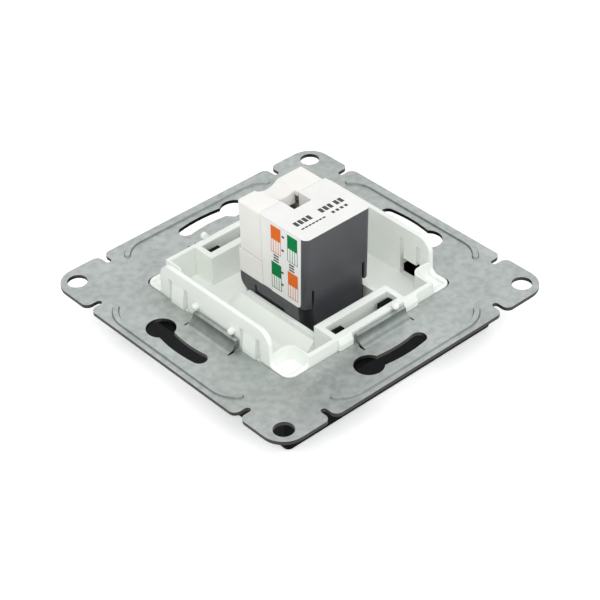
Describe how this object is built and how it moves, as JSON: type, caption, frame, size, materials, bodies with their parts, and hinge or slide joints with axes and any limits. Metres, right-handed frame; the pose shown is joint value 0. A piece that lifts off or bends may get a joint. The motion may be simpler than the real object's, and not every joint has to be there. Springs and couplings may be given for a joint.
{
  "type": "ethernet socket insert",
  "caption": "Data socket insert for a round wall box: steel yoke plate with keyholes, snap-in carrier, square front cover and a modular jack with a lift-off wiring cap.",
  "frame": {"origin": "centre of the front cover's face, on which the part lies", "axes": "+Z points to the rear of the socket, away from the room; +Y points to the side where the wiring cap comes off"},
  "size_m": [0.071, 0.071, 0.0318],
  "materials": {
    "galvanised_steel": "dull zinc",
    "white_plastic": "satin",
    "black_plastic": "satin",
    "dark_plastic": "satin",
    "black_insert": "satin",
    "circuit_board": "solder resist",
    "white_jack_plastic": "satin",
    "cap_plastic": "satin",
    "label_film": "coated sticker",
    "gold_contact": "plated",
    "tinned_blade": "tinned"
  },
  "bodies": {
    "socket": {"yoke_plate": "galvanised_steel", "carrier": "white_plastic", "front_cover": "black_plastic", "jack_housing": "dark_plastic", "contact_insert": "black_insert", "circuit_board": "circuit_board", "terminal_block": "white_jack_plastic", "label": "label_film", "plug_contact_1": "gold_contact", "plug_contact_2": "gold_contact", "plug_contact_3": "gold_contact", "plug_contact_4": "gold_contact", "plug_contact_5": "gold_contact", "plug_contact_6": "gold_contact", "plug_contact_7": "gold_contact", "plug_contact_8": "gold_contact", "terminal_blade_1": "tinned_blade", "terminal_blade_2": "tinned_blade", "terminal_blade_3": "tinned_blade", "terminal_blade_4": "tinned_blade", "terminal_blade_5": "tinned_blade", "terminal_blade_6": "tinned_blade", "terminal_blade_7": "tinned_blade", "terminal_blade_8": "tinned_blade"},
    "cap": {"wiring_cap": "cap_plastic"}
  },
  "joints": [
    {"name": "wiring_cap_slide", "type": "slide", "parent": "socket", "child": "cap", "axis": [0, 1, 0], "range_m": [0, 0.009]}
  ]
}
